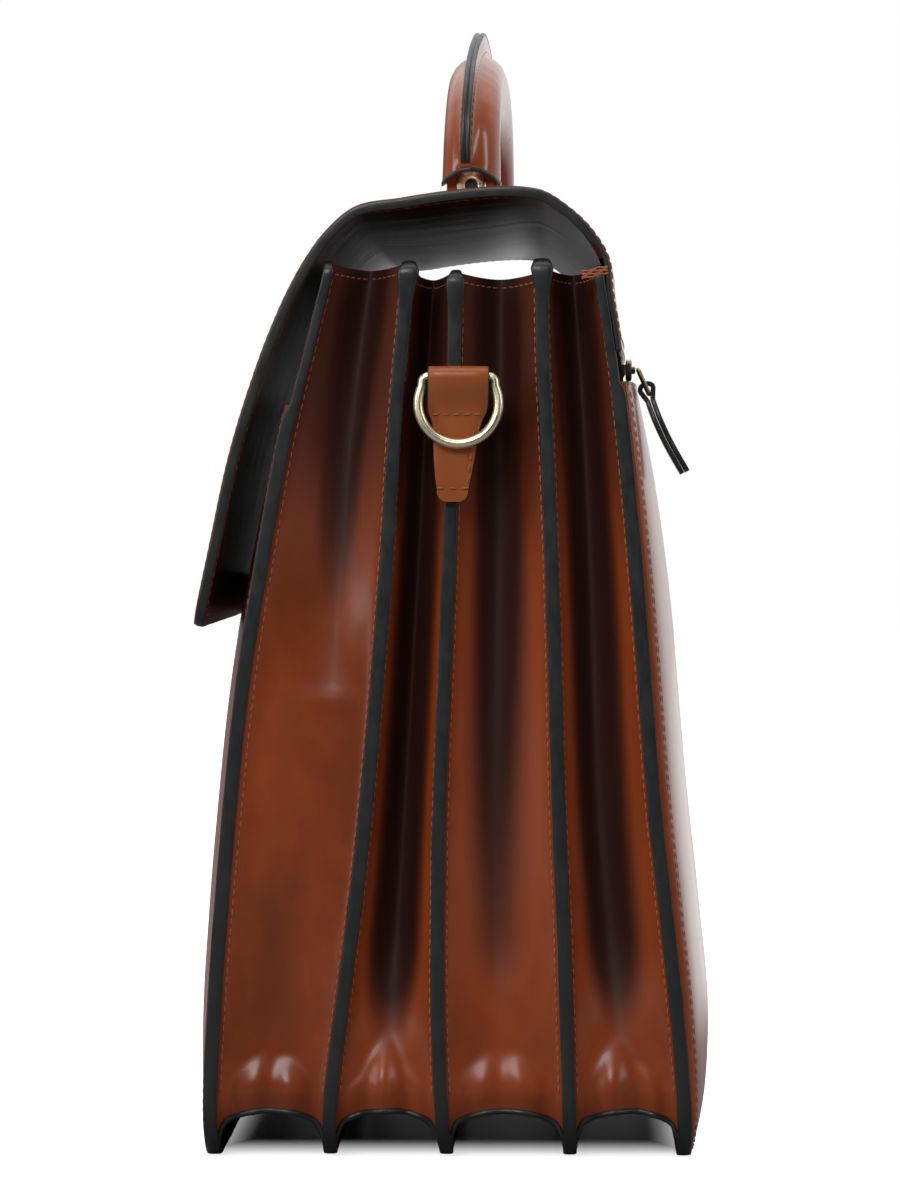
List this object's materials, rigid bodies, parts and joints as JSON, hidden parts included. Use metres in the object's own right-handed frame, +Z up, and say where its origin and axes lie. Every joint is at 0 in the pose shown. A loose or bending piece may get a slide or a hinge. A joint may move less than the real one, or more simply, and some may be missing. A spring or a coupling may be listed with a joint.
{
  "type": "school satchel",
  "caption": "Leather school satchel with folded side gussets between stiff walls, a lined flap, a padded top handle, front and back pockets and side D-rings.",
  "frame": {"origin": "middle of the base on the surface that the satchel stands on", "axes": "+X along the width to the side with the zip's slider, -Y to the front with the flap, +Z up"},
  "size_m": [0.4254, 0.188, 0.4086],
  "materials": {
    "leather": "glossy brown waxed leather, darker in the folds",
    "lining": "black glossy lining",
    "brass": "pale polished brass",
    "antique_brass": "dark antique brass",
    "zip_tape": "dark woven zip tape",
    "edge_paint": "black edge paint, satin",
    "thread": "waxed orange-brown sewing thread"
  },
  "bodies": {
    "bag": {"front_panel": "leather", "divider_1": "leather", "divider_2": "leather", "divider_3": "leather", "back_panel": "leather", "front_pocket": "leather", "back_pocket": "leather", "gusset_right_1": "leather", "gusset_right_2": "leather", "gusset_right_3": "leather", "gusset_right_4": "leather", "gusset_left_1": "leather", "gusset_left_2": "leather", "gusset_left_3": "leather", "gusset_left_4": "leather", "bottom_gusset_1": "leather", "bottom_gusset_2": "leather", "bottom_gusset_3": "leather", "bottom_gusset_4": "leather", "flap": "leather", "flap_lining": "lining", "handle_grip": "leather", "handle_strap_right": "leather", "handle_strap_left": "leather", "handle_eyelet_right": "brass", "handle_eyelet_left": "brass", "handle_rivet_right": "brass", "handle_rivet_left": "brass", "d_ring_tab_right": "leather", "d_ring_tab_left": "leather", "zip_tape": "zip_tape", "zip_slider": "antique_brass", "zip_pull_link": "antique_brass", "zip_pull_tab": "leather", "clasp": "brass"},
    "d_ring_right": {"d_ring_right": "brass"},
    "d_ring_left": {"d_ring_left": "brass"}
  },
  "joints": [
    {"name": "d_ring_right_swing", "type": "hinge", "parent": "bag", "child": "d_ring_right", "pos_m": [0.20895, 0.00561, 0.27149], "axis": [0, -1, 0], "range_deg": [0, 150]},
    {"name": "d_ring_left_swing", "type": "hinge", "parent": "bag", "child": "d_ring_left", "pos_m": [-0.20895, 0.00561, 0.27149], "axis": [0, 1, 0], "range_deg": [0, 150]}
  ]
}
